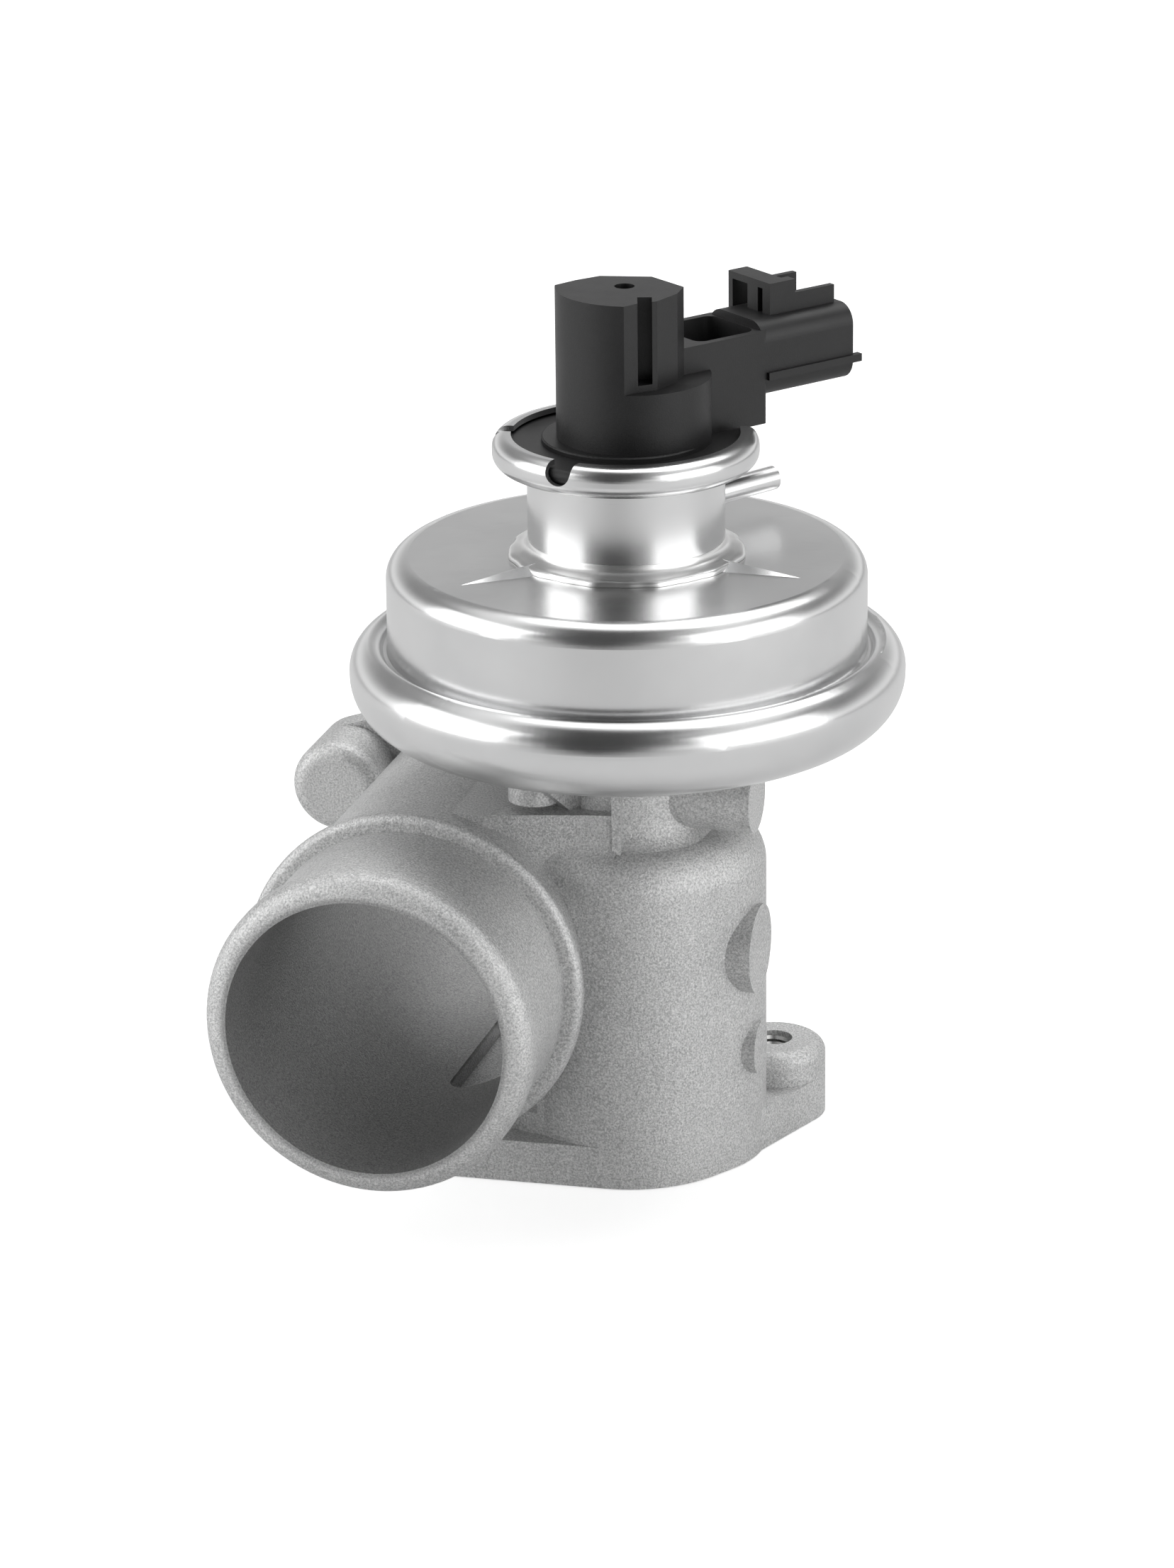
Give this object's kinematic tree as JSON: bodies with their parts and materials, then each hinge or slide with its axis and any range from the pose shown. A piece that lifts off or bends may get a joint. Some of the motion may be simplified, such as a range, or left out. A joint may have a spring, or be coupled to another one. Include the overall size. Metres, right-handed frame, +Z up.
{
  "type": "egr valve",
  "caption": "Vacuum operated exhaust gas recirculation valve on a straight air duct, with a position sensor on top of its actuator can.",
  "frame": {"origin": "on the base flange's face, on the valve axis", "axes": "+Z up the valve stem, the air pipe's mouth towards -Y, the duct on the -X side of the valve"},
  "size_m": [0.1217, 0.11, 0.1636],
  "materials": {
    "cast_housing": "shot blasted casting",
    "seat_steel": "machined",
    "stem_steel": "ground",
    "guide_bronze": "machined",
    "pressed_steel": "bright plated, pressed",
    "plate_steel": "plated, pressed",
    "spring_steel": "drawn wire",
    "screw_steel": "plated",
    "rubber_black": "moulded",
    "gasket_fibre": "fibre sheet",
    "sensor_plastic": "moulded, fine grain",
    "sensor_inner": "moulded",
    "contact_metal": "plated",
    "board": "coated"
  },
  "bodies": {
    "housing": {"valve_housing": "cast_housing", "valve_seat": "seat_steel", "stem_guide": "guide_bronze", "deposit_shield": "plate_steel", "stem_seal": "rubber_black", "seal_retainer": "plate_steel", "actuator_gasket": "gasket_fibre", "lower_shell": "pressed_steel", "actuator_screws": "screw_steel", "upper_shell": "pressed_steel", "diaphragm": "rubber_black", "return_spring": "spring_steel", "spring_seat": "sensor_inner", "sensor_cup": "pressed_steel", "vacuum_pipe": "pressed_steel", "sensor_body": "sensor_plastic", "connector_terminals": "contact_metal", "sensor_seal": "rubber_black", "sensor_cover": "sensor_inner", "plunger_spring": "spring_steel", "track_board": "board", "outlet_seal": "rubber_black"},
    "valve": {"valve_head": "stem_steel", "valve_stem": "stem_steel", "lower_plate": "plate_steel", "upper_plate": "plate_steel", "plate_washer": "plate_steel", "stem_nut": "screw_steel"},
    "plunger": {"sensor_plunger": "sensor_inner", "wiper": "contact_metal"}
  },
  "joints": [
    {"name": "valve_lift", "type": "slide", "parent": "housing", "child": "valve", "axis": [0, 0, 1], "range_m": [0, 0.007], "stiffness_N_per_m": 2000, "springref_m": -0.004, "deforming": ["return_spring", "diaphragm"]},
    {"name": "plunger_slide", "type": "slide", "parent": "housing", "child": "plunger", "axis": [0, 0, 1], "range_m": [0, 0.007], "stiffness_N_per_m": 100, "springref_m": -0.004, "deforming": ["plunger_spring"]}
  ],
  "couplings": [
    {"joint": "plunger_slide", "follows": "valve_lift", "ratio": 1}
  ]
}
